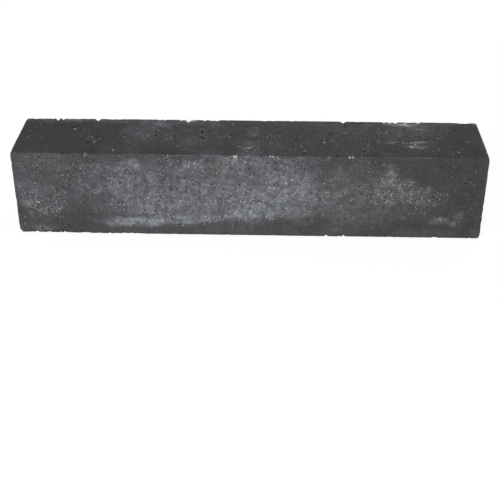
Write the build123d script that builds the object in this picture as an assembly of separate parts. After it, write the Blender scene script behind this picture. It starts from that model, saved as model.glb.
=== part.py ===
# Garden wall block: one long, slender block of pressed concrete, as stacked dry or glued in low garden walls.
# It stands on its bed face, with the long front face towards -Y and +Z up.
# The origin is the middle of the bed face. All lengths are millimetres.

import os

from build123d import *

# Driving dimensions
LENGTH = 600.0  # along X, end face to end face
DEPTH = 100.0  # along Y, front face to back face
HEIGHT = 120.0  # along Z, bed face to top face: one course of the wall
ARRIS_RADIUS = 2.5  # worn rounding along every edge

# Nicks, knocked out of the long arrises in handling. Each one gives
# its place as a share of the length from the left end, its width along the arris and the depth of its bite.
BACK_TOP_NICKS = (
    (0.069, 7.0, 2.0),
    (0.083, 5.5, 1.3),
    (0.158, 8.0, 1.9),
    (0.361, 12.0, 2.8),
    (0.705, 6.5, 1.7),
    (0.820, 15.0, 1.5),
)
FRONT_TOP_NICKS = (
    (0.156, 5.0, 1.1),
    (0.471, 7.0, 1.4),
    (0.547, 6.0, 1.3),
    (0.712, 7.0, 1.4),
)
FRONT_BED_NICKS = (
    (0.032, 14.0, 1.2),
    (0.097, 5.5, 1.3),
    (0.703, 9.0, 1.4),
    (0.905, 9.0, 1.1),
)
FRONT, BACK = -1, 1
BED, TOP = -1, 1


def arris_crest(side_y, side_z):
    """The crest of a long arris at mid length, and the direction that points straight out of it."""
    outward = Vector(0, side_y, side_z).normalized()
    rounding_centre = Vector(
        0,
        side_y * (DEPTH / 2 - ARRIS_RADIUS),
        HEIGHT / 2 + side_z * (HEIGHT / 2 - ARRIS_RADIUS),
    )
    return rounding_centre + outward * ARRIS_RADIUS, outward


def nick(share, width, bite, side_y, side_z):
    """A scoop for one nick: a ball sunk into the arris by the bite, and as wide as the nick where it meets the crest."""
    ball_radius = (width**2 / 4 + bite**2) / (2 * bite)
    crest, outward = arris_crest(side_y, side_z)
    along = Vector((share - 0.5) * LENGTH, 0, 0)
    return Pos(crest + along + outward * (ball_radius - bite)) * Sphere(ball_radius)


def wall_block():
    """The cast block with its worn arrises, less the nicks."""
    cast = Box(LENGTH, DEPTH, HEIGHT, align=(Align.CENTER, Align.CENTER, Align.MIN))
    worn = fillet(cast.edges(), ARRIS_RADIUS)
    scoops = [nick(*size, BACK, TOP) for size in BACK_TOP_NICKS]
    scoops += [nick(*size, FRONT, TOP) for size in FRONT_TOP_NICKS]
    scoops += [nick(*size, FRONT, BED) for size in FRONT_BED_NICKS]
    return worn - scoops


os.makedirs("parts", exist_ok=True)
block = wall_block()
block.label = "wall_block"
export_step(block, "parts/wall_block.step")
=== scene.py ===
# Garden wall block: the looks of a long block of pressed anthracite concrete, with worn arrises and bloom
# The origin is the middle of the bed face, the long front face looks towards -Y, and +Z is up.
# Lengths are metres, and places and sizes in the tables of wear and bloom are millimetres.

import itertools
import math

import bpy
import numpy as np
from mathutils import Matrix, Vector


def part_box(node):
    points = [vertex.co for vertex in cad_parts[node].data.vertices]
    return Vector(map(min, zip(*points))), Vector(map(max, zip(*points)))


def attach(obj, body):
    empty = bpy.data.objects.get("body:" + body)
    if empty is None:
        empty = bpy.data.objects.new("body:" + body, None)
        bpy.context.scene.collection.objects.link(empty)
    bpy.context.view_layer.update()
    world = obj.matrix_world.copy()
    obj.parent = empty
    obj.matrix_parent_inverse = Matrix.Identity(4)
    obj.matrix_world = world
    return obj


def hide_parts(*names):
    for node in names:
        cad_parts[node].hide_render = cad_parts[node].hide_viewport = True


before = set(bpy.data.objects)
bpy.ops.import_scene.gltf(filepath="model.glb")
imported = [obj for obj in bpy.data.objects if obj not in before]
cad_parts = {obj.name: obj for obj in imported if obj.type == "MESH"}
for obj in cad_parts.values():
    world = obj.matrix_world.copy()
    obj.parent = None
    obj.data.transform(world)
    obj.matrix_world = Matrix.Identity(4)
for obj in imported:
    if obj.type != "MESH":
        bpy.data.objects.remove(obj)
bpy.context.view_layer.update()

MM = 0.001

# The block's names in the frame, its sizes and its sides
NODE = "wall_block"
BODY = "root"
LOW, HIGH = (np.array(corner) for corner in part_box(NODE))
CENTRE = (LOW + HIGH) / 2
HALF = (HIGH - LOW) / 2
LEFT, RIGHT = -1, 1
FRONT, BACK = -1, 1
BED, TOP = -1, 1

# Rounding of the arrises: larger at the bed, and down to the top's radius at this height
TOP_RADIUS = 1.3 * MM
BED_RADIUS = 3.5 * MM
TOP_RADIUS_FROM = 12 * MM

# Mesh steps: fine beside the arrises and the nicks, and coarser over the faces, along X, Y and Z. The steps
# are counted on this many samples of a side.
ARRIS_ZONE = 4.2 * MM
ARRIS_STEP = 0.7 * MM
NICK_ZONE = 5.0 * MM
NICK_STEP = 0.9 * MM
FACE_STEPS = (1.8 * MM, 2.9 * MM, 2.9 * MM)
STATION_SAMPLES = 20001

# Rough noise has this many octaves, each with a seed so much further on
OCTAVES = 3
OCTAVE_SEEDS = 10
# Seeds of the noise, one for each kind of wear and bloom
WAVE_SEED = 1
TEXTURE_SEED = 20
CRUMB_SEED = 50
FRAY_SEED = 80
PIT_SEED = 110
RAGGED_SEED = 140
DRIFT_SEEDS = (200, 230, 260)
CLOUD_SEED = 290
UNEVEN_SEED = 320

# Wear of the faces and the arrises: depth of each kind, and size of its lumps
WAVE_DEPTH, WAVE_SIZE = 0.14 * MM, 70 * MM
TEXTURE_DEPTH, TEXTURE_SIZE = 0.08 * MM, 9 * MM
CRUMB_DEPTH, CRUMB_SIZE = 3.0 * MM, 8 * MM
FRAY_DEPTH, FRAY_SIZE = 0.15 * MM, 4.5 * MM
# An arris crumbles where noise passes this level: fully up to the first distance, and not beyond the second
CRUMB_LEVEL = 0.3
CRUMB_ZONE = (0.5 * MM, 4 * MM)

# Pits in the pressed faces: spacing, size of a crowd, largest share of places with one, width and depth
PITS = (7 * MM, 26 * MM, 0.9, 4.2 * MM, 1.5 * MM)
# Share of that depth where no sand lies, and depth of a single hollow
PIT_LEAST = 0.35
HOLLOW_DEPTH = 1.2 * MM

# Ragged cuts: size of the noise, its share in a bite, and the least and most that it makes of the bite
RAGGED_SIZE = 5 * MM
RAGGED_SHARE = 0.6
RAGGED_LIMITS = (0.7, 1.6)
# Broken stone starts to show and is fully pale where a cut goes these shares of its bite deep
PALE_CUT = (0.05, 0.35)

# Nicks knocked out of the long arrises, and spalls lifted off beside them. Each list names the side along
# Y and Z and the lean of the cut: 1 cuts straight into the arris, less cuts flatter along the top or the
# bed, and more cuts flatter along the front or the back. Each cut has its place along X, width along the
# arris and depth of bite, and how pale it is, from 0 to 1.
NICKS = {
    (BACK, TOP, 1.0): (
        (-285.0, 36.0, 1.6, 0.0),
        (-277.0, 5.0, 2.2, 0.0),
        (-257.5, 6.0, 5.0, 0.0),
        (-250.0, 5.5, 3.6, 0.0),
        (-236.0, 42.0, 1.3, 0.0),
        (-204.0, 9.0, 4.6, 0.0),
        (-180.0, 44.0, 1.4, 0.0),
        (-121.0, 4.0, 2.6, 0.0),
        (-92.5, 5.0, 2.2, 0.2),
        (-82.5, 8.0, 4.4, 0.9),
        (-61.0, 6.0, 2.0, 0.0),
        (-45.0, 9.0, 2.4, 0.0),
        (19.5, 4.5, 2.2, 0.0),
        (123.5, 10.0, 3.2, 0.0),
        (177.0, 6.0, 2.4, 0.0),
        (185.0, 6.0, 2.4, 0.3),
        (192.0, 8.0, 3.4, 0.7),
        (222.5, 7.0, 2.2, 0.3),
        (283.0, 40.0, 1.7, 0.0),
    ),
    (BACK, TOP, 0.1): (
        (-80.0, 30.0, 0.6, 0.8),
        (201.0, 36.0, 0.4, 0.0),
    ),
    (FRONT, TOP, 2.0): (
        (-206.3, 6.0, 3.0, 1.0),
        (27.0, 5.0, 1.7, 0.85),
        (30.5, 4.0, 1.5, 0.82),
        (125.5, 6.0, 1.5, 0.82),
        (130.0, 5.0, 1.4, 0.85),
    ),
    (FRONT, TOP, 5.0): (
        (-18.0, 5.0, 1.5, 0.82),
        (-15.2, 4.0, 1.6, 0.78),
    ),
    (FRONT, BED, 1.0): (
        (-290.0, 26.0, 1.7, 0.0),
        (-284.0, 14.0, 2.2, 0.0),
        (-277.0, 12.0, 2.4, 0.0),
        (-255.0, 130.0, 1.5, 0.0),
        (-241.5, 5.0, 3.2, 0.0),
        (-214.0, 22.0, 2.2, 0.0),
        (-182.0, 4.0, 2.2, 0.0),
        (-155.0, 56.0, 1.5, 0.0),
        (101.0, 6.0, 2.4, 0.0),
        (118.0, 4.0, 2.4, 0.0),
        (123.5, 4.5, 3.2, 0.0),
        (242.0, 10.0, 2.2, 0.0),
    ),
}

# Corners rubbed off, all of them to one width: side along X, Y and Z, lean of the cut along Y and Z, and
# depth of bite. Leans of 1 cut straight into the corner, and less cuts flatter, along the end face.
WORN_CORNERS = (
    (LEFT, FRONT, TOP, 0.05, 0.12, 0.5),
    (RIGHT, FRONT, BED, 1.0, 1.0, 1.1),
    (RIGHT, FRONT, TOP, 0.04, 0.25, 0.9),
    (LEFT, FRONT, BED, 1.0, 1.0, 1.6),
    (LEFT, BACK, TOP, 1.0, 1.0, 2.6),
    (RIGHT, BACK, TOP, 1.0, 1.0, 1.5),
    (LEFT, BACK, BED, 1.0, 1.0, 1.5),
    (RIGHT, BACK, BED, 1.0, 1.0, 1.0),
)
CORNER_WIDTH = 24.0

# Lime bloom, as soft oval patches: place along X, place across the face (Z on the front, Y on the top),
# half length, half height, strength of the haze and density of pale sand. A value below 0 thins what
# other patches lay there.
FRONT_BLOOM = (
    (-293, 67, 8, 10, 0.07, 0.10),
    (-292, 8, 9, 10, 0.11, 0.10),
    (-287, 48, 7, 8, 0.32, 0.20),
    (-284, 62, 12, 52, 0.05, 0.05),
    (-281, 31, 6, 3, 0.20, 0.20),
    (-270, 21, 12, 6, 0.06, 0.10),
    (-270, 48, 10, 10, 0.05, 0.00),
    (-270, 58, 13, 11, 0.14, 0.40),
    (-270, 100, 20, 14, 0.00, 0.30),
    (-266, 9, 15, 5, 0.26, 1.20),
    (-259, 31, 9, 5, 0.13, 0.30),
    (-254, 47, 11, 8, 0.06, 0.90),
    (-245, 88, 80, 48, 0.08, 0.12),
    (-240, 8, 60, 9, -0.01, 0.05),
    (-232, 67, 10, 9, -0.05, 0.00),
    (-222, 88, 16, 18, 0.00, 0.45),
    (-210, 106, 14, 10, -0.02, 0.20),
    (-196, 97, 12, 10, 0.08, 0.40),
    (-195, 64, 10, 6, 0.07, 0.60),
    (-180, 26, 11, 7, 0.14, 0.10),
    (-178, 90, 8, 8, -0.09, 0.00),
    (-166, 98, 11, 4, 0.18, 0.10),
    (-162, 80, 18, 20, 0.14, 0.50),
    (-152, 97, 8, 6, 0.06, 0.00),
    (-150, 20, 42, 7, 0.52, 0.30),
    (-150, 52, 9, 7, -0.06, 0.00),
    (-150, 97, 10, 7, 0.05, 0.00),
    (-148, 106, 14, 7, 0.34, 0.10),
    (-145, 40, 45, 10, 0.08, 0.10),
    (-140, 8, 22, 6, 0.02, 0.00),
    (-134, 65, 9, 9, 0.14, 0.00),
    (-133, 18, 12, 5, 0.18, 0.10),
    (-116, 44, 8, 7, 0.10, 0.00),
    (-112, 67, 10, 9, -0.12, 0.00),
    (-110, 37, 12, 6, 0.05, 0.00),
    (-104, 88, 14, 14, -0.10, 0.00),
    (-95, 23, 45, 6, 0.40, 0.25),
    (-95, 42, 92, 16, 0.10, 0.20),
    (-90, 112, 10, 8, -0.07, 0.00),
    (-82, 28, 9, 5, -0.14, 0.00),
    (-81, 57, 8, 8, 0.10, 0.00),
    (-72, 103, 30, 7, 0.08, 0.50),
    (-63, 46, 9, 7, -0.14, 0.00),
    (-59, 22, 9, 5, -0.10, 0.00),
    (-55, 26, 35, 6, 0.18, 0.30),
    (-50, 37, 10, 22, -0.06, 0.00),
    (-50, 68, 140, 46, 0.33, 0.55),
    (-50, 93, 12, 10, -0.14, 0.00),
    (-49, 70, 8, 8, 0.10, 0.00),
    # This long weak strip along the bed lightens the lowest band of the front
    (-40, 8, 180, 9, 0.07, 0.00),
    (-30, 97, 9, 7, 0.07, 0.10),
    (-17, 63, 9, 8, 0.24, 0.00),
    (-12, 112, 26, 9, 0.19, 0.40),
    (-10, 8, 11, 7, 0.06, 0.00),
    (0, 20, 18, 6, 0.09, 0.00),
    (0, 30, 12, 6, 0.34, 0.20),
    (0, 118, 150, 12, 0.06, 0.20),
    (5, 34, 45, 7, 0.32, 0.35),
    (5, 48, 26, 14, 0.12, 0.20),
    (8, 90, 16, 8, -0.05, 0.00),
    (10, 98, 11, 6, 0.07, 0.10),
    (17, 60, 8, 8, -0.11, 0.00),
    (25, 79, 8, 8, -0.10, 0.00),
    (34, 44, 9, 7, -0.12, 0.00),
    (35, 110, 40, 12, 0.16, 0.22),
    (45, 66, 42, 30, 0.21, 0.06),
    (48, 98, 9, 8, -0.07, 0.00),
    (52, 36, 29, 9, 0.32, 0.20),
    (60, 86, 28, 16, 0.08, 0.10),
    (66, 98, 8, 8, 0.10, 0.00),
    (70, 22, 13, 6, 0.14, 0.10),
    (74, 50, 10, 8, 0.12, 0.00),
    (80, 71, 8, 8, 0.11, 0.00),
    (80, 97, 14, 8, 0.06, 0.10),
    (94, 80, 8, 8, -0.10, 0.00),
    (110, 52, 12, 10, 0.06, 0.20),
    (110, 67, 10, 9, -0.05, 0.00),
    (112, 8, 13, 7, 0.06, 0.00),
    (119, 65, 9, 9, 0.08, 0.60),
    (130, 90, 20, 14, -0.05, 0.00),
    (130, 112, 10, 8, -0.04, 0.00),
    (135, 62, 66, 48, 0.18, 0.25),
    (150, 78, 9, 9, -0.12, -0.10),
    (168, 72, 11, 13, -0.04, 0.00),
    (172, 82, 12, 8, -0.05, 0.00),
    (176, 92, 8, 16, 0.25, 0.40),
    (180, 70, 30, 20, 0.15, 1.30),
    (193, 56, 11, 8, -0.12, 0.00),
    (200, 84, 18, 12, 0.06, 0.20),
    (212, 38, 16, 10, 0.08, 0.30),
    (222, 62, 28, 15, 0.18, 1.20),
    (230, 8, 40, 8, 0.09, 0.00),
    (236, 61, 10, 6, -0.12, -0.30),
    (244, 28, 14, 6, 0.47, 0.05),
    (262, 22, 5, 4, 0.34, 0.00),
    (262, 62, 34, 50, -0.02, 0.18),
    (270, 34, 6, 8, 0.28, 0.00),
    (292, 8, 9, 8, 0.06, 0.00),
    (296, 62, 6, 52, 0.03, 0.00),
)
TOP_BLOOM = (
    (-285, 0, 14, 46, -0.03, 0.00),
    (-262, 45, 44, 8, 0.20, 0.05),
    (-229, 45, 17, 5, 0.30, 0.05),
    (-185, 46, 36, 8, 0.22, 0.05),
    (-147, 0, 19, 50, 0.10, 0.05),
    (-134, 43, 12, 8, 0.22, 0.05),
    (-120, 25, 16, 7, 0.08, 0.10),
    (-118, 35, 14, 8, 0.40, 0.20),
    (-100, 14, 60, 40, 0.10, 0.10),
    (-82, 44, 58, 9, 0.12, 0.10),
    (-80, 48, 10, 4, 0.55, 0.20),
    (-78, -20, 10, 20, 0.12, 0.10),
    (-55, -44, 22, 10, 0.10, 0.10),
    (-44, 36, 15, 7, 0.16, 0.20),
    (-5, -12, 16, 10, 0.06, 0.10),
    (0, -42, 16, 10, 0.18, 0.30),
    (2, -24, 12, 15, 0.26, 0.30),
    (6, 16, 9, 13, 0.20, 0.30),
    (30, -18, 14, 12, 0.05, 0.00),
    (60, 0, 120, 60, 0.06, 0.05),
    (85, 46, 110, 11, 0.06, 0.00),
    (140, 45, 14, 6, -0.12, 0.00),
    (170, 30, 100, 26, 0.07, 0.05),
    (172, -42, 10, 6, 0.09, 0.10),
    (196, -9, 26, 1.8, 0.40, 0.00),
    (200, 43, 20, 7, 0.50, 0.40),
    (208, 2, 34, 36, 0.10, 0.10),
    (212, -20, 15, 3.5, 0.45, 0.20),
    (213, -9, 11, 3.0, 0.40, 0.20),
    (215, 24, 20, 7, 0.07, 0.00),
    (220, 30, 14, 2.5, 0.36, 0.20),
    (226, 37, 10, 2, 0.30, 0.20),
    (238, 44, 46, 9, 0.14, 0.10),
    (297, 44, 6, 6, 0.28, 0.05),
    # This strip along the right end is partly pale wear of the end arris and partly a painted highlight on it
    (301, -10, 6, 46, 0.20, 0.05),
)
# Clusters of sand and pits on the top: place along X and Y, half length, half depth and density
TOP_SAND = (
    (-275, -4, 8, 8, 0.4),
    (-237, 27, 7, 5, 0.4),
    (-199, 0, 14, 22, 0.45),
    (-177, 12, 8, 12, 0.4),
    (-134, 4, 12, 10, 1.2),
    (-102, 5, 6, 8, 1.6),
    (-60, 0, 5, 24, 1.5),
    (-28, 2, 6, 9, 1.4),
    (30, 0, 11, 9, 1.2),
    (66, -15, 7, 20, 0.5),
    (100, -2, 10, 14, 0.5),
    (122, 15, 7, 8, 0.35),
    (148, -10, 9, 18, 0.55),
    (168, 5, 8, 20, 0.4),
    (240, -32, 17, 10, 0.25),
    (250, 28, 15, 7, 0.25),
)
# Scuffs of crushed stone on the top: place along X and Y, half length, half depth and paleness
TOP_SCUFFS = (
    (-124, 36.0, 4, 5.0, 0.66),
    (-112, 34.0, 4, 4.0, 0.62),
    (-81, 46.0, 14, 4.0, 0.95),
    (-1, -31.0, 6, 6.0, 0.66),
    (2, 26.0, 4, 4.0, 0.60),
    (5, 11.0, 5, 5.0, 0.66),
    (190, 40.0, 9, 6.0, 0.66),
    (204, 44.0, 8, 6.0, 0.90),
    (207, -20.5, 6.5, 3.2, 0.80),
    (210, -13.0, 2.4, 3.2, 0.70),
    (212, -16.0, 10, 6.0, 0.20),
    (220, -24.0, 6, 2.2, 0.80),
    (220, -8.0, 7, 2.4, 0.72),
    (221, 29.0, 14, 2.0, 0.75),
    (223, 46.5, 6, 4.0, 0.76),
    (228, 36.5, 9, 2.0, 0.75),
)
# Single hollows and pale grains on the top: place along X and Y, half length, half depth, darkness of a
# hollow, which is painted shade inside it, and paleness of a grain
TOP_SPECKS = (
    (-235, 29, 3.4, 3.0, 1.1, 0.0),
    (-232, 24, 3.0, 3.0, 1.1, 0.0),
    (-230, 19, 3.6, 2.8, 0.0, 0.95),
    (-229, 29, 2.8, 3.0, 1.1, 0.0),
    (-220, 17, 2.2, 3.0, 0.9, 0.0),
    (-216, -14, 2.4, 3.0, 0.8, 0.0),
    (-206, -17, 3.0, 3.0, 0.9, 0.0),
    (-204, 13, 2.2, 3.0, 0.8, 0.0),
    (-196, -41, 2.4, 5.0, 1.0, 0.0),
    (-195, 4, 2.2, 5.0, 0.8, 0.0),
    (-192, -11, 3.5, 3.0, 0.9, 0.0),
    (-189, -5, 2.6, 3.0, 1.0, 0.0),
    (-171, -39, 2.4, 2.8, 0.0, 0.95),
    (-137, -8, 2.6, 3.0, 0.9, 0.0),
    (-131, -13, 2.6, 3.0, 0.9, 0.0),
    (-100, -5, 4.5, 2.2, 0.0, 0.82),
    (-91, -26, 2.4, 2.4, 0.0, 0.80),
    (-62, 13, 2.2, 5.0, 1.0, 0.0),
    (-61, -1, 2.4, 5.0, 1.1, 0.0),
    (-60, -15, 2.4, 5.0, 1.0, 0.0),
    (-26, -2, 2.6, 3.5, 1.0, 0.0),
    (-25, 18, 2.4, 2.4, 0.0, 0.82),
    (-23, 36, 2.6, 2.6, 0.0, 0.85),
    (-13, -26, 4.0, 2.2, 0.0, 0.80),
    (65, 2, 2.4, 3.0, 0.9, 0.0),
    (70, -42, 3.5, 3.5, 1.1, 0.0),
    (70, -35, 3.0, 2.8, 0.0, 0.85),
    (93, -14, 2.8, 3.5, 1.1, 0.0),
    (96, -11, 2.6, 2.8, 0.0, 0.90),
    (105, -9, 2.2, 3.0, 0.9, 0.0),
    (105, 12, 2.8, 3.5, 1.0, 0.0),
    (126, 38, 2.6, 7.0, 1.1, 0.0),
    (144, -27, 2.6, 2.8, 0.0, 0.85),
    (145, -33, 2.6, 4.0, 1.1, 0.0),
    (145, -20, 2.4, 3.0, 1.0, 0.0),
    (146, 0, 2.4, 3.0, 0.9, 0.0),
    (256, -38, 2.6, 2.8, 0.0, 0.80),
    (259, -38, 2.6, 3.5, 1.1, 0.0),
    (261, 18, 3.4, 3.0, 1.0, 0.0),
    (262, -45, 2.6, 3.0, 1.0, 0.0),
    (264, -34, 2.6, 2.8, 0.0, 0.85),
    (268, 27, 2.8, 3.0, 0.9, 0.0),
    (274, 29, 2.4, 3.0, 0.9, 0.0),
    (281, -25, 2.4, 4.0, 0.8, 0.0),
    (284, -36, 2.4, 3.5, 0.9, 0.0),
)
# Stretches of the arris between front and top that carry a painted highlight along the crest: middle along X,
# half length, strength
ARRIS_HIGHLIGHTS = (
    (-268, 34, 0.18),
    (-80, 75, 0.24),
    (200, 42, 0.26),
)
# A ring of pale sand low on the left of the front face: centre along X and Z, radius and width
SAND_RING = (-259, 54, 17.5, 6)
# What the ring adds to sand and haze, and how much it fades towards its upper side
RING_SAND, RING_HAZE = 1.5, 0.11
RING_FADE = 0.5

# Sand outside the patches. The front has none below the first height, in millimetres, and its full share
# above the second.
FRONT_SAND = 0.14
FRONT_SAND_RISE = (14, 28)
TOP_SAND_LEAST = 0.04
# Scales the density of the top's clusters
TOP_SAND_SHARE = 1.1

# Clouds of bloom on the other faces: their size, the levels of noise where one starts and is full, and
# the haze and sand outside a cloud and added by one
CLOUD_SIZE = 90 * MM
CLOUD_RISE = (-0.1, 0.7)
CLOUD_HAZE = (0.10, 0.35)
CLOUD_SAND = (0.10, 0.55)

# How far noise moves the patches along X, Y and Z, in millimetres, and the size of its lumps
DRIFT_REACH = (6, 3, 3)
DRIFT_SIZE = 22 * MM
# How much noise makes haze and sand uneven, and the size of its lumps
UNEVEN_SHARE = 0.22
UNEVEN_SIZE = 16 * MM

# The camera of the photograph: place, angle down from level, turn to the left, and lens and sensor in
# millimetres. The middle of the frame lies below the lens's axis, by this share of the frame's side.
CAMERA_PLACE = (0.0291, -1.1221, 0.7016)
CAMERA_DOWN = math.radians(29.31)
CAMERA_TURN = math.radians(1.46)
CAMERA_LENS = 70.49
CAMERA_SENSOR = 36.0
CAMERA_SHIFT = -0.16

# Lamps, square and aimed at the block: name, place, side in metres and power in watts
LAMPS = (
    ("key", (-1.0, -2.3, 0.95), 1.5, 51.0),
    ("overhead", (0.3, 0.2, 2.4), 2.0, 2.5),
    ("back_fill", (1.2, 2.2, 1.2), 1.5, 18.0),
)
# Strength of the sky, half side of the floor, its paint, and its glow with the glow's share in what shows
SKY = 0.30
FLOOR_HALF = 4.0
FLOOR_PAINT = (0.75, 0.75, 0.75, 1)
FLOOR_GLOW = 1.2
FLOOR_GLOW_SHARE = 0.75
WHITE = (1, 1, 1, 1)

# Colours of the concrete, as linear red, green and blue
BODY_DARK = (0.0602, 0.0590, 0.0630, 1)
BODY_LIGHT = (0.0752, 0.0745, 0.0806, 1)
BODY_TEAL = (0.0625, 0.0650, 0.0680, 1)
BODY_EARTHY = (0.0655, 0.0650, 0.0655, 1)
LIME = (0.272, 0.286, 0.309, 1)
LIME_GREENISH = (0.268, 0.286, 0.290, 1)
LIME_NEUTRAL = (0.286, 0.284, 0.299, 1)
# The pale sand colour also paints the highlight on the lit wall beside each void
PALE_SAND_AND_HIGHLIGHT = (0.500, 0.505, 0.515, 1)
# Painted shade: the near-black that fills pores, voids and hollows stands for the shade inside them
PIT_SHADE = (0.013, 0.013, 0.014, 1)
BROKEN_STONE = (0.60, 0.60, 0.59, 1)

# Noise in the concrete's colour and relief: size of its lumps, detail and roughness
MOTTLE = (38 * MM, 5, 0.6)
TINT = (55 * MM, 3, 0.5)
CLOTS = (11 * MM, 4, 0.6)
CLUSTERS = (10 * MM, 3, 0.6)
WISPS = (9 * MM, 2, 0.5)
DRAG = (5 * MM, 3, 0.6)
STREAKS = (5 * MM, 4, 0.6)
LUMPY = (4.2 * MM, 3, 0.6)
FINE = (1.2 * MM, 3, 0.65)
CRUMBLY = (3.5 * MM, 4, 0.75)
# Levels of noise where some of these start and are full
MOTTLE_RISE = (0.30, 0.70)
TINT_RISE = (0.50, 0.70)
CLOT_RISE = (0.28, 0.72)
CLUSTER_RISE = (0.40, 0.64)
# Drag marks are drawn out upright and streaks lengthwise, by these scales of X, Y and Z
DRAG_SCALE = (1, 1, 0.12)
STREAK_SCALE = (0.22, 1, 1)
# Wisps run along the middle level of their noise, narrower for a larger sharpness
WISP_LEVEL = 0.5
WISP_SHARPNESS = 70.0

# Tints of the body: share of the teal, and share of the earthy one, which starts at a height above the bed
# and is full so much lower. The lime turns neutral between two places along X.
TEAL_SHARE = 0.4
EARTHY_SHARE = 0.7
EARTHY_FROM = 30 * MM
EARTHY_FADE = 15 * MM
NEUTRAL_LIME = (70 * MM, 140 * MM)
# The thinnest and the thickest that each kind of noise makes the haze
CLOT_HAZE = (0.50, 1.50)
DRAG_HAZE = (0.75, 1.25)
GRAIN_HAZE = (0.85, 1.15)
STREAK_HAZE = (0.55, 1.45)
WISP_HAZE = (0.80, 1.25)
# Tone of body and haze: the darkest, and what each kind of noise adds
TONE_LEAST = 0.58
GRAIN_TONE = 0.15
LUMP_TONE = 0.24
FINE_TONE = 0.17
DRAG_TONE = 0.26

# Flecks on the concrete: spacing, smallest and largest radius as shares of it, and weakest strength. A
# painted shadow, sunk a little as a hollow, lies beside each coarse grain, and a painted highlight beside
# each void, by an offset, so each of these pairs has one spacing.
COARSE_SPACING = 4.6 * MM
VOID_SPACING = 7.5 * MM
COARSE_SAND = (COARSE_SPACING, 0.18, 0.44, 0.4)
GRAIN_SHADOWS = (COARSE_SPACING, 0.18, 0.38, 0.4)
FINE_SAND = (2.8 * MM, 0.22, 0.48, 0.3)
PORES = (2.9 * MM, 0.20, 0.44, 0.4)
VOIDS = (VOID_SPACING, 0.20, 0.40, 0.7)
VOID_HIGHLIGHTS = (VOID_SPACING, 0.14, 0.30, 0.4)
GRAIN_SHADOW_OFFSET = (1.1 * MM, -1.5 * MM, -1.5 * MM)
VOID_HIGHLIGHT_OFFSET = (-1.7 * MM, -2.0 * MM, 1.0 * MM)
# Softness of a fleck's rim, and of the step from no fleck to a fleck
FLECK_RIM = 0.14
FLECK_STEP = 0.03
# Grains of the cement skin: their spacing, and the noise that makes the outlines of grains and flecks ragged
GRAIN_SPACING = 2.1 * MM
OUTLINE_SIZE = 2.4 * MM
OUTLINE_DETAIL = 2.0
OUTLINE_REACH = 2.8 * MM

# Crowding of the flecks: the least, what pressed faces and clusters add, and its range across wisps
CROWD_LEAST = 0.10
PRESSED_CROWD = 0.40
CLUSTER_CROWD = 1.30
WISP_CROWD = (0.65, 1.45)
# Share of cells that have a fleck where the crowding is 1, and of those that have a pore anywhere
COARSE_SHARE = 0.80
FINE_SHARE = 0.75
PORE_SHARE = 0.80
VOID_SHARE = 0.60
PORE_LEAST = 0.03
# Brightness of the sand: the least, what sand, bloom and pressed faces add, and where it is full
BRIGHT_LEAST = 0.48
SAND_BRIGHT = 0.10
BLOOM_BRIGHT = 0.80
PRESSED_BRIGHT = 0.28
BRIGHT_FULL = 1.4
# How fully each kind of fleck covers what lies under it, and for pores, outside and inside the bloom
VOID_COVER = 0.95
VOID_HIGHLIGHT_COVER = 0.90
PORE_COVER = (0.95, 0.65)
GRAIN_SHADOW_COVER = 0.90
COARSE_COVER = 1.20
SINGLE_HOLLOW_SHADE_COVER = 0.66
# A mark crumbles: it shows where its own share and the noise's share add up to more than the level
MARK_SHARE = 1.10
CRUMBLY_SHARE = 1.30
CRUMBLY_LEVEL = 1.25
CRUMBLY_FADE = 0.5

# Relief: its height, and the share of that which each kind of noise and fleck raises or sinks
RELIEF = 1.0 * MM
FINE_RAISED = 0.25
LUMP_RAISED = 0.35
COARSE_RAISED = 0.40
GRAIN_EDGE_SUNK = (0.10, 0.35)
PORE_SUNK = 0.80
GRAIN_SHADOW_SUNK = 0.60
VOID_SUNK = 1.20
# Finish: roughness between and on top of the lumps, and a weak sheen
ROUGHNESS = (0.82, 0.98)
SHEEN = 0.10

# Turns the noise off the block's own axes, so that no lump lines up with a face
SKEW = np.array(
    (
        (0.64, 0.48, -0.60),
        (-0.60, 0.80, 0.00),
        (0.48, 0.36, 0.80),
    )
)


def stir(numbers, seed):
    """Shares from 0 to 1 that look random, one for each row of three whole numbers: each number is
    multiplied by its own large prime, the products and the seed's are joined bit by bit, and shifts and
    products then stir the bits."""
    primes = np.array((73856093, 19349663, 83492791), np.uint32)
    mixed = np.bitwise_xor.reduce(numbers.astype(np.int64).astype(np.uint32) * primes, axis=-1)
    mixed = mixed ^ np.uint32(seed * 7919)
    for shift, factor in ((16, 0x7FEB352D), (15, 0x846CA68B), (16, 0x9E3779B1)):
        mixed = (mixed ^ (mixed >> np.uint32(shift))) * np.uint32(factor)
    return (mixed ^ (mixed >> np.uint32(16))) / 2.0**32


def lumps(points, size, seed):
    """Smooth noise, about -1 to 1, with lumps about size across: each corner of a cubic mesh of that size
    has a random slope, and 1.5 times the heights that the slopes give are blended across each cube by the
    easing curve 6t^5 - 15t^4 + 10t^3."""
    scaled = points @ SKEW / size
    base = np.floor(scaled)
    part = scaled - base
    ease = part**3 * (part * (part * 6 - 15) + 10)
    total = np.zeros(len(points))
    for corner in itertools.product((0, 1), repeat=3):
        step = np.array(corner)
        weight = np.prod(np.where(step, ease, 1 - ease), axis=1)
        slope = np.stack([stir(base + step, seed + axis) for axis in range(3)], axis=1) * 2 - 1
        total += weight * np.sum(slope * (part - step), axis=1)
    return total * 1.5


def rough(points, size, seed):
    """Lumps on lumps: each octave adds noise of half the size and half the height of the one before."""
    return sum(lumps(points, size / 2**i, seed + OCTAVE_SEEDS * i) / 2**i for i in range(OCTAVES))


def ease_between(values, start, end):
    """0 before start, 1 after end, and the easing curve 3t^2 - 2t^3 between them."""
    part = np.clip((values - start) / (end - start), 0, 1)
    return part * part * (3 - 2 * part)


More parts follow.
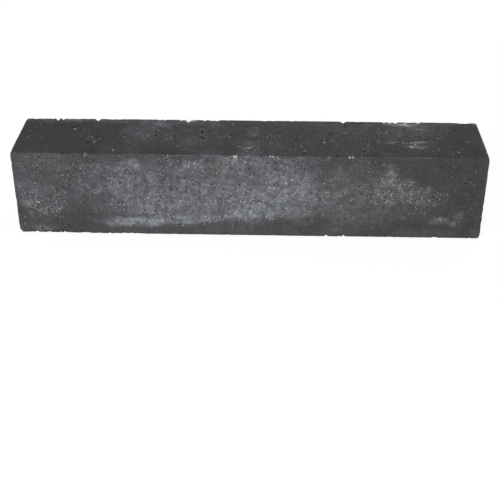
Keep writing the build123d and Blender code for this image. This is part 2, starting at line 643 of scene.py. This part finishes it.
def pit_depths(points, spacing, crowd, share, width, depth, seed):
    """Scattered round pits: space is cut into cubes of the given spacing, and up to that share of the cubes
    holds a pit's centre at a random place, more of them in some cubes of the crowd's size than in others.
    A pit is half to one and a half times as wide and as deep as given, and its depth falls from its middle
    to its rim as 1 - (distance / radius)^2."""
    scaled = points @ SKEW / spacing
    base = np.floor(scaled)
    deepest = np.zeros(len(points))
    for corner in itertools.product((-1, 0, 1), repeat=3):
        cell = base + np.array(corner)
        place = cell + np.stack([stir(cell, seed + axis) for axis in range(3)], axis=1)
        size = 0.5 + stir(cell, seed + 3)
        radius = width / 2 * size / spacing
        fall = 1 - np.sum((scaled - place) ** 2, axis=1) / radius**2
        crowding = stir(np.floor(cell * spacing / crowd), seed + 5) ** 2
        present = stir(cell, seed + 4) < share * crowding
        deepest = np.maximum(deepest, np.where(present, fall * size * depth, 0))
    return deepest


def stations(half, step, finer):
    """Places along one side of the block, from -half to half: equal fine steps beside both arrises, coarse
    steps between them, and fine ones again near each of the given places, which weigh exp(-t^4). The number
    of steps up to a place is the running sum of 1 / step, and a station stands wherever it passes the next
    whole share."""
    inner = half - ARRIS_ZONE
    fine = np.linspace(inner, half, round(ARRIS_ZONE / ARRIS_STEP) + 1)
    along, gap = np.linspace(-inner, inner, STATION_SAMPLES, retstep=True)
    near = np.zeros(len(along))
    for place in finer:
        near = np.maximum(near, np.exp(-(((along - place) / NICK_ZONE) ** 4)))
    passed = np.cumsum(gap / (step + (NICK_STEP - step) * near))
    passed -= passed[0]
    coarse = np.interp(np.linspace(0, passed[-1], round(passed[-1]) + 1), passed, along)
    return np.concatenate((-fine[::-1], coarse[1:-1], fine))


def box_skin(places):
    """The welded skin of a box. Each of its six faces is a grid over two of the three lists of places,
    wound so that it faces outwards, and the faces share the vertices along their common edges. Returns
    the points and the quads."""
    counts = [len(stops) for stops in places]
    faces = []
    for axis, side in itertools.product(range(3), (0, 1)):
        across, up = (axis + 1) % 3, (axis + 2) % 3
        index = [None, None, None]
        columns, rows = np.arange(counts[across]), np.arange(counts[up])
        index[across], index[up] = np.meshgrid(columns, rows, indexing="ij")
        index[axis] = np.full_like(index[across], side * (counts[axis] - 1))
        grid = np.ravel_multi_index(index, counts)
        corners = (grid[:-1, :-1], grid[1:, :-1], grid[1:, 1:], grid[:-1, 1:])
        quads = np.stack(corners, axis=-1).reshape(-1, 4)
        faces.append(quads if side else quads[:, ::-1])
    used, welded = np.unique(np.concatenate(faces), return_inverse=True)
    index = np.unravel_index(used, counts)
    points = np.stack([places[axis][index[axis]] for axis in range(3)], axis=1)
    return points, welded.reshape(-1, 4)


def rounded(points, half, radius):
    """A box skin with rounded arrises: each point is drawn to the nearest place on a box that is smaller
    by the radius all round, and then pushed straight out from there by the radius, which has one value
    for each point. Returns the new points and their outward normals."""
    core = np.clip(points, radius - half, half - radius)
    out = points - core
    out /= np.linalg.norm(out, axis=1, keepdims=True)
    return core + radius * out, out


def notch(points, crest, outward, width, bite, ragged):
    """One nick: a cut square to the outward direction, as deep as the bite at the crest's place along X.
    It runs out to nothing at half its width to either side, as 1 - t^1.5, and the ragged noise makes it
    uneven. Points beyond the cut move straight in until they lie on it. Returns the moved points and how
    far each one went, as a share of the bite."""
    aside = np.abs(points[:, 0] - crest[0]) / (width / 2)
    depth = bite * np.clip(1 - aside**1.5, 0, 1) * np.clip(1 + RAGGED_SHARE * ragged, *RAGGED_LIMITS)
    sunk = np.maximum((points - crest) @ outward + depth, 0)
    return points - outward * sunk[:, None], np.clip(sunk / bite, 0, 1)


def worn_skin(flat, points, normals, sand, shaded_hollow):
    """The wear of a pressed block, all of it inwards: faces a little wavy, a sandy texture, arrises that
    fray and that crumble where noise is high, pits in the pressed faces, top and bed, which are deeper
    where sand lies, and single hollows. Each is a depth along the normal, and they are added up. A
    point's distance from the nearest arris is the second smallest of its distances from the three pairs
    of faces. Returns the moved points."""
    gap = np.sort(HALF - np.abs(flat), axis=1)
    near_arris = 1 - ease_between(gap[:, 1], *CRUMB_ZONE)
    wave = WAVE_DEPTH * (1 + lumps(points, WAVE_SIZE, WAVE_SEED))
    texture = TEXTURE_DEPTH * (1 + rough(points, TEXTURE_SIZE, TEXTURE_SEED))
    crumbs = CRUMB_DEPTH * np.clip(rough(points, CRUMB_SIZE, CRUMB_SEED) - CRUMB_LEVEL, 0, 1)
    fray = FRAY_DEPTH * (1 + rough(points, FRAY_SIZE, FRAY_SEED))
    pressed = normals[:, 2] ** 2 * np.clip(PIT_LEAST + sand, 0, 1)
    pits = pressed * pit_depths(points, *PITS, PIT_SEED) + HOLLOW_DEPTH * shaded_hollow
    return points - normals * (wave + texture + near_arris * (crumbs + fray) + pits)[:, None]


def arris_crest(sides, along_x, lean):
    """The crest of a rounded arris or corner, which is the centre of its rounding plus the radius straight
    outwards, and the direction square to a cut there. The sides are -1, 0 or 1 along X, Y and Z, and a side
    of 0 takes the given place along X. The lean scales the direction's three parts."""
    sides = np.array(sides)
    radius = TOP_RADIUS if sides[2] == TOP else BED_RADIUS
    crest = sides * (HALF - radius + radius / np.linalg.norm(sides))
    if sides[0] == 0:
        crest[0] = along_x
    outward = sides * np.array(lean)
    return crest, outward / np.linalg.norm(outward)


def knocked_about(points):
    """The nicks along the long arrises and the rubbed corners, each a ragged cut. Returns the moved
    points and, for each one, how much pale broken stone it shows."""
    pale = np.zeros(len(points))
    ragged = rough(points, RAGGED_SIZE, RAGGED_SEED)
    for (side_y, side_z, lean), nicks in NICKS.items():
        for place, width, bite, paleness in nicks:
            crest, outward = arris_crest((0, side_y, side_z), place * MM, (1, lean, 1))
            points, depth = notch(points, crest, outward, width * MM, bite * MM, ragged)
            pale = np.maximum(pale, paleness * ease_between(depth, *PALE_CUT))
    for *sides, lean_y, lean_z, bite in WORN_CORNERS:
        crest, outward = arris_crest(sides, 0, (1, lean_y, lean_z))
        points = notch(points, crest, outward, CORNER_WIDTH * MM, bite * MM, ragged)[0]
    return points, pale


def patches(along, across, ovals):
    """Soft ovals added up: each one weighs exp(-q^2), where q is the squared distance from its middle,
    counted in its half lengths. Returns one sum for each value that an oval has after its place and half
    lengths."""
    sums = 0
    for middle_along, middle_across, half_along, half_across, *values in ovals:
        q = ((along - middle_along) / half_along) ** 2 + ((across - middle_across) / half_across) ** 2
        sums = sums + np.outer(values, np.exp(-q * q))
    return sums


def front_bloom(x, z):
    """Haze and sand on the front: its patches, sand above the clean strip along the bed, and the ring,
    which weighs exp(-t^2), where t is the distance from its radius in its widths, and fades evenly from
    below to above."""
    haze, sand = patches(x, z, FRONT_BLOOM)
    ring_x, ring_z, ring_radius, ring_width = SAND_RING
    ring = np.exp(-(((np.hypot(x - ring_x, z - ring_z) - ring_radius) / ring_width) ** 2))
    ring *= 1 - RING_FADE * np.clip((z - ring_z) / ring_radius, -1, 1)
    sand += RING_SAND * ring + FRONT_SAND * ease_between(z, *FRONT_SAND_RISE)
    haze += RING_HAZE * ring
    return haze, sand


def top_bloom(x, y):
    """Haze and sand on the top: its patches, its clusters of sand and a little sand between them."""
    haze, sand = patches(x, y, TOP_BLOOM)
    sand += TOP_SAND_LEAST + TOP_SAND_SHARE * patches(x, y, TOP_SAND)[0]
    return haze, sand


def lime_bloom(points, normals):
    """Haze, sand density, pale marks and the painted shade of single hollows at each point. The front and the
    top have their own patches, moved about by noise so that their edges are ragged, and the other faces
    have clouds of noise. A point on an arris blends its two faces by the squares of its normal. Along
    stretches of the front arris, haze is added as a painted highlight, which weighs exp(-t^4) along it
    and four times the product of its two faces' shares across it, which is 1 on the crest. Single
    hollows and grains stay where they are, because they are too small to move about."""
    shift = np.stack([rough(points, DRIFT_SIZE, seed) for seed in DRIFT_SEEDS], axis=1) * DRIFT_REACH
    x, y, z = (points / MM + shift).T
    front_haze, front_sand = front_bloom(x, z + HALF[2] / MM)
    top_haze, top_sand = top_bloom(x, y)
    clouds = ease_between(rough(points, CLOUD_SIZE, CLOUD_SEED), *CLOUD_RISE)
    other_haze, other_sand = (least + added * clouds for least, added in (CLOUD_HAZE, CLOUD_SAND))
    on_front = np.clip(-normals[:, 1], 0, 1) ** 2
    on_top = np.clip(normals[:, 2], 0, 1) ** 2
    on_others = 1 - on_front - on_top
    haze = on_front * front_haze + on_top * top_haze + on_others * other_haze
    sand = on_front * front_sand + on_top * top_sand + on_others * other_sand
    # Painted highlight along the crest of the front-top arris, added to the haze
    for middle, half_length, strength in ARRIS_HIGHLIGHTS:
        haze += 4 * on_front * on_top * strength * np.exp(-(((x - middle) / half_length) ** 4))
    uneven = 1 + UNEVEN_SHARE * rough(points, UNEVEN_SIZE, UNEVEN_SEED)
    scuffs = patches(x, y, TOP_SCUFFS)[0]
    # The darkness of a single hollow is painted shade inside it
    shaded_hollows, grains = patches(points[:, 0] / MM, points[:, 1] / MM, TOP_SPECKS)
    pale, shaded_hollow = (np.clip(on_top * marks, 0, 1) for marks in (np.maximum(scuffs, grains), shaded_hollows))
    return np.clip(haze * uneven, 0, 1), np.clip(sand * uneven, 0, 2), pale, shaded_hollow


def mesh_object(name, points, quads, values):
    """A smooth mesh from arrays of points and quads, with one named value for each point."""
    mesh = bpy.data.meshes.new(name)
    mesh.vertices.add(len(points))
    mesh.vertices.foreach_set("co", points.astype(np.float32).ravel())
    mesh.loops.add(quads.size)
    mesh.loops.foreach_set("vertex_index", quads.astype(np.int32).ravel())
    mesh.polygons.add(len(quads))
    mesh.polygons.foreach_set("loop_start", np.arange(0, quads.size, 4, dtype=np.int32))
    mesh.polygons.foreach_set("use_smooth", np.ones(len(quads), bool))
    mesh.update(calc_edges=True)
    for value_name, numbers in values.items():
        attribute = mesh.attributes.new(value_name, "FLOAT", "POINT")
        attribute.data.foreach_set("value", numbers.astype(np.float32))
    piece = bpy.data.objects.new(name, mesh)
    bpy.context.scene.collection.objects.link(piece)
    return piece


class Wire:
    """One output of a material's nodes. Arithmetic on wires and numbers adds Math nodes and gives a new
    wire."""

    def __init__(self, tree, socket=None):
        self.tree = tree
        self.socket = socket

    def node(self, kind, settings, inputs, output=None):
        """Adds a node, sets its settings first and then its sockets, each to a number, a colour or
        another wire, and returns the wire of the named output. Sockets go by their identifiers."""
        made = self.tree.nodes.new(kind)
        for setting, value in settings.items():
            setattr(made, setting, value)
        sockets = {socket.identifier: socket for socket in made.inputs}
        for name, value in inputs.items():
            if isinstance(value, Wire):
                self.tree.links.new(value.socket, sockets[name])
            else:
                sockets[name].default_value = value
        return Wire(self.tree, next((s for s in made.outputs if s.identifier == output), None))

    def also(self, output):
        """The wire of another output of the same node."""
        return Wire(self.tree, next(s for s in self.socket.node.outputs if s.identifier == output))

    def math(self, operation, first, second):
        """A Math node on two wires or numbers."""
        inputs = {"Value": first, "Value_001": second}
        return self.node("ShaderNodeMath", {"operation": operation}, inputs, "Value")

    def __add__(self, other):
        return self.math("ADD", self, other)

    def __sub__(self, other):
        return self.math("SUBTRACT", self, other)

    def __rsub__(self, other):
        return self.math("SUBTRACT", other, self)

    def __mul__(self, other):
        return self.math("MULTIPLY", self, other)

    __radd__ = __add__
    __rmul__ = __mul__

    def between(self, low, high):
        """The low number where this wire is 0, the high one where it is 1, and in proportion elsewhere."""
        return low + (high - low) * self

    def rise(self, start, end):
        """0 before start, 1 after end, and a smooth rise between them."""
        inputs = {"Value": self, "From Min": start, "From Max": end}
        return self.node("ShaderNodeMapRange", {"interpolation_type": "SMOOTHSTEP"}, inputs, "Result")

    def mix(self, first, second):
        """The first colour where this wire is 0, the second where it is 1, and a blend between them."""
        inputs = {"Factor_Float": self, "A_Color": first, "B_Color": second}
        return self.node("ShaderNodeMix", {"data_type": "RGBA"}, inputs, "Result_Color")

    def moved(self, amount):
        """This vector, plus another one."""
        inputs = {"Vector": self, "Vector_001": amount}
        return self.node("ShaderNodeVectorMath", {"operation": "ADD"}, inputs, "Vector")

    def scaled(self, amount):
        """This colour or vector, times an amount."""
        inputs = {"Vector": self, "Scale": amount}
        return self.node("ShaderNodeVectorMath", {"operation": "SCALE"}, inputs, "Vector")

    def stretched(self, scale):
        """This place, with its X, Y and Z scaled. A scale below 1 draws a pattern out along that axis."""
        return self.node("ShaderNodeMapping", {}, {"Vector": self, "Scale": scale}, "Vector")


def noise(where, size, detail, roughness):
    """Noise from 0 to 1, with lumps about size across."""
    inputs = {"Vector": where, "Scale": 1 / size, "Detail": detail, "Roughness": roughness}
    return where.node("ShaderNodeTexNoise", {}, inputs, "Fac")


def cells(where, spacing):
    """A random mesh of cells about the spacing across: the distance from each cell's middle, as a share
    of the spacing, and three random shares that are the same all over a cell."""
    distance = where.node("ShaderNodeTexVoronoi", {}, {"Vector": where, "Scale": 1 / spacing}, "Distance")
    first = where.node("ShaderNodeSeparateColor", {}, {"Color": distance.also("Color")}, "Red")
    return distance, first, first.also("Green"), first.also("Blue")


def flecks(where, density, spacing, smallest, largest, weakest):
    """Flecks, one at most for each cell of a random mesh: the density is the share of cells that has one,
    its radius is random between smallest and largest, as shares of the spacing, and its strength is
    random too, from weakest to 1."""
    distance, chance, size, strength = cells(where, spacing)
    inside = (size.between(smallest, largest) - distance).rise(0.0, FLECK_RIM)
    present = (density - chance).rise(0.0, FLECK_STEP)
    return inside * present * (strength * strength).between(weakest, 1)


def new_material(name):
    """An empty material and a first wire on its nodes."""
    material = bpy.data.materials.new(name)
    material.use_nodes = True
    material.node_tree.nodes.clear()
    return material, Wire(material.node_tree)


def bloomed_body(where, bloom, wisps, lumpy, fine, grain_tone, grain_shade):
    """The colour of the concrete under its haze of lime. The body is mottled, teal in places and earthy
    near the bed. The haze is the bloom, made thinner or thicker by clots, drag marks, streaks, wisps and
    single grains, and it blends the body to lime, which is greenish in places and neutral towards the
    right. Lumps, drag marks and grains then lighten or darken both."""
    tint = noise(where, *TINT).rise(*TINT_RISE)
    along = where.node("ShaderNodeSeparateXYZ", {}, {"Vector": where}, "X")
    near_bed = (EARTHY_FROM - along.also("Z")).rise(0.0, EARTHY_FADE)
    body = noise(where, *MOTTLE).rise(*MOTTLE_RISE).mix(BODY_DARK, BODY_LIGHT)
    body = (TEAL_SHARE * tint).mix(body, BODY_TEAL)
    body = (EARTHY_SHARE * near_bed).mix(body, BODY_EARTHY)
    lime = along.rise(*NEUTRAL_LIME).mix(tint.mix(LIME, LIME_GREENISH), LIME_NEUTRAL)
    clots = noise(where, *CLOTS).rise(*CLOT_RISE)
    drag = noise(where.stretched(DRAG_SCALE), *DRAG)
    streaks = noise(where.stretched(STREAK_SCALE), *STREAKS)
    haze = bloom * clots.between(*CLOT_HAZE) * drag.between(*DRAG_HAZE) * grain_shade.between(*GRAIN_HAZE)
    haze = haze * streaks.between(*STREAK_HAZE) * wisps.between(*WISP_HAZE)
    tone = TONE_LEAST + GRAIN_TONE * grain_tone + LUMP_TONE * lumpy + FINE_TONE * fine + DRAG_TONE * drag
    return haze.mix(body, lime).scaled(tone)


def concrete():
    """Pressed anthracite concrete. Its bloomed body is covered, layer by layer, by voids on the pressed
    faces, near-black with painted shade and each with a painted highlight beside it, pores dark with
    painted shade, painted shadows beside coarse grains of pale sand, finer sand, painted shade in the
    single hollows, and pale broken stone in nicks and scuffs. All flecks are denser where the sand value
    is high, in clusters and along wisps, and sand is brighter in the bloom. The relief adds up lumps,
    grains and flecks, in shares of its height."""
    material, start = new_material("anthracite_concrete_worn")
    where = start.node("ShaderNodeTexCoord", {}, {}, "Object")
    bloom, sand, broken, shaded_hollow, pressed = (
        start.node("ShaderNodeAttribute", {"attribute_name": name}, {}, "Fac")
        for name in ("bloom", "sand", "broken", "shaded_hollow", "pressed")
    )
    outline = {"Vector": where, "Scale": 1 / OUTLINE_SIZE, "Detail": OUTLINE_DETAIL}
    ragged = start.node("ShaderNodeTexNoise", {}, outline, "Color").scaled(OUTLINE_REACH).moved(where)
    beside = ragged.moved(GRAIN_SHADOW_OFFSET)
    lumpy = noise(where, *LUMPY)
    fine = noise(where, *FINE)
    grain, grain_tone, grain_shade, grain_rise = cells(ragged, GRAIN_SPACING)
    off_crest = noise(where, *WISPS) - WISP_LEVEL
    wisps = (1.0 - WISP_SHARPNESS * off_crest * off_crest).rise(0.0, 1.0)
    clusters = noise(where, *CLUSTERS).rise(*CLUSTER_RISE)

    crowd = CROWD_LEAST + PRESSED_CROWD * pressed + CLUSTER_CROWD * clusters
    crowd = sand * crowd * wisps.between(*WISP_CROWD)
    grains_present = COARSE_SHARE * crowd
    voids_present = VOID_SHARE * crowd * pressed
    coarse_sand = flecks(ragged, grains_present, *COARSE_SAND)
    # Painted shadow beside each coarse grain, by an offset, sunk a little as a hollow
    shaded_hollows = flecks(beside, grains_present, *GRAIN_SHADOWS)
    fine_sand = flecks(ragged, FINE_SHARE * crowd, *FINE_SAND)
    # Pores and voids sink in the relief, and their near-black colour is painted shade
    pores = flecks(beside, PORE_LEAST + PORE_SHARE * crowd, *PORES)
    voids = flecks(ragged, voids_present, *VOIDS)
    # Painted highlight on the lit wall beside each void, in the pale sand colour
    void_highlights = flecks(ragged.moved(VOID_HIGHLIGHT_OFFSET), voids_present, *VOID_HIGHLIGHTS)
    brightness = BRIGHT_LEAST + SAND_BRIGHT * sand + BLOOM_BRIGHT * bloom + PRESSED_BRIGHT * pressed
    brightness = brightness.rise(0.0, BRIGHT_FULL)
    crumbly = CRUMBLY_SHARE * noise(where, *CRUMBLY) - CRUMBLY_LEVEL
    # Painted shade inside the single hollows, crumbled by noise
    single_hollow_shade = (MARK_SHARE * shaded_hollow + crumbly).rise(0.0, CRUMBLY_FADE)
    chips = (MARK_SHARE * broken + crumbly).rise(0.0, CRUMBLY_FADE)
    layers = (
        (VOID_COVER * voids, PIT_SHADE),
        (VOID_HIGHLIGHT_COVER * void_highlights, PALE_SAND_AND_HIGHLIGHT),
        (bloom.between(*PORE_COVER) * pores, PIT_SHADE),
        (GRAIN_SHADOW_COVER * shaded_hollows, PIT_SHADE),
        (COARSE_COVER * coarse_sand * brightness, PALE_SAND_AND_HIGHLIGHT),
        (fine_sand * brightness, PALE_SAND_AND_HIGHLIGHT),
        (SINGLE_HOLLOW_SHADE_COVER * single_hollow_shade, PIT_SHADE),
        (chips, BROKEN_STONE),
    )
    colour = bloomed_body(where, bloom, wisps, lumpy, fine, grain_tone, grain_shade)
    for cover, layer_colour in layers:
        colour = cover.mix(colour, layer_colour)

    height = FINE_RAISED * fine + LUMP_RAISED * lumpy + COARSE_RAISED * coarse_sand
    height = height - grain * grain_rise.between(*GRAIN_EDGE_SUNK)
    height = height - PORE_SUNK * pores - GRAIN_SHADOW_SUNK * shaded_hollows - VOID_SUNK * voids
    relief = {"Strength": 1.0, "Distance": RELIEF, "Height": height}
    finish = {
        "Base Color": colour,
        "Roughness": lumpy.between(*ROUGHNESS),
        "Specular IOR Level": SHEEN,
        "Normal": start.node("ShaderNodeBump", {}, relief, "Normal"),
    }
    shader = start.node("ShaderNodeBsdfPrincipled", {}, finish, "BSDF")
    start.node("ShaderNodeOutputMaterial", {}, {"Surface": shader})
    return material


def seen_directly(start):
    """1 for what the camera sees itself, or by a mirror or through glass, and 0 for light on its way to a
    surface."""
    rays = start.node("ShaderNodeLightPath", {}, {}, "Is Camera Ray")
    return (rays + rays.also("Is Glossy Ray") + rays.also("Is Transmission Ray")).rise(0.0, 1.0)


def studio_floor():
    """A pale floor that reads as white and keeps a soft shadow: a square of matt paint, mixed with a
    white glow that only shows to the camera and in reflections."""
    points = np.array(((-1, -1, 0), (1, -1, 0), (1, 1, 0), (-1, 1, 0))) * FLOOR_HALF
    floor = mesh_object("floor", points, np.array(((0, 1, 2, 3),)), {})
    material, start = new_material("pale_floor")
    paint = start.node("ShaderNodeBsdfDiffuse", {}, {"Color": FLOOR_PAINT}, "BSDF")
    glow = start.node("ShaderNodeEmission", {}, {"Color": WHITE, "Strength": FLOOR_GLOW}, "Emission")
    shaders = {"Fac": seen_directly(start) * FLOOR_GLOW_SHARE, "Shader": paint, "Shader_001": glow}
    both = start.node("ShaderNodeMixShader", {}, shaders, "Shader")
    start.node("ShaderNodeOutputMaterial", {}, {"Surface": both})
    floor.data.materials.append(material)


def studio_light():
    """A large soft key low at the front left, a weak overhead and a weak fill behind, and an even sky
    that looks white to the camera."""
    for name, place, side, watts in LAMPS:
        lamp = bpy.data.lights.new(name, "AREA")
        lamp.size = side
        lamp.energy = watts
        holder = bpy.data.objects.new(name, lamp)
        holder.location = place
        holder.rotation_euler = (Vector(CENTRE) - Vector(place)).to_track_quat("-Z", "Y").to_euler()
        bpy.context.scene.collection.objects.link(holder)
    world = bpy.data.worlds.new("studio")
    world.use_nodes = True
    world.node_tree.nodes.clear()
    start = Wire(world.node_tree)
    sky = start.node("ShaderNodeBackground", {}, {"Color": WHITE, "Strength": SKY}, "Background")
    white = start.node("ShaderNodeBackground", {}, {"Color": WHITE, "Strength": 1.0}, "Background")
    shaders = {"Fac": seen_directly(start), "Shader": sky, "Shader_001": white}
    both = start.node("ShaderNodeMixShader", {}, shaders, "Shader")
    start.node("ShaderNodeOutputWorld", {}, {"Surface": both})
    bpy.context.scene.world = world


def photo_camera():
    """The camera of the photograph, level across, looking down on the block."""
    camera = bpy.data.cameras.new("camera")
    camera.sensor_width = CAMERA_SENSOR
    camera.lens = CAMERA_LENS
    camera.shift_y = CAMERA_SHIFT
    holder = bpy.data.objects.new("camera", camera)
    holder.location = CAMERA_PLACE
    holder.rotation_euler = (math.pi / 2 - CAMERA_DOWN, 0, CAMERA_TURN)
    bpy.context.scene.collection.objects.link(holder)
    bpy.context.scene.camera = holder


def worn_wall_block():
    """The whole block as one piece: a box skin with finer steps along X near the nicks, rounded, worn,
    knocked about and bloomed with lime."""
    nick_places = [place * MM for nicks in NICKS.values() for place, *size in nicks]
    finer_places = (nick_places, (), ())
    flat, quads = box_skin([stations(*side) for side in zip(HALF, FACE_STEPS, finer_places)])
    sharper = ease_between(flat[:, 2:], -HALF[2], TOP_RADIUS_FROM - HALF[2])
    radius = BED_RADIUS + (TOP_RADIUS - BED_RADIUS) * sharper
    cast, normals = rounded(flat, HALF, radius)
    bloom, sand, scuffs, shaded_hollow = lime_bloom(cast, normals)
    worn = worn_skin(flat, cast, normals, sand, shaded_hollow)
    points, broken = knocked_about(worn)
    values = {
        "bloom": bloom,
        "sand": sand,
        "broken": np.maximum(broken, scuffs),
        "shaded_hollow": shaded_hollow,
        "pressed": normals[:, 2] ** 2,
    }
    block = mesh_object("worn_wall_block", points + CENTRE, quads, values)
    block.data.materials.append(concrete())
    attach(block, BODY)
    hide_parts(NODE)


worn_wall_block()
studio_floor()
studio_light()
photo_camera()
bpy.context.scene.view_settings.view_transform = "Standard"
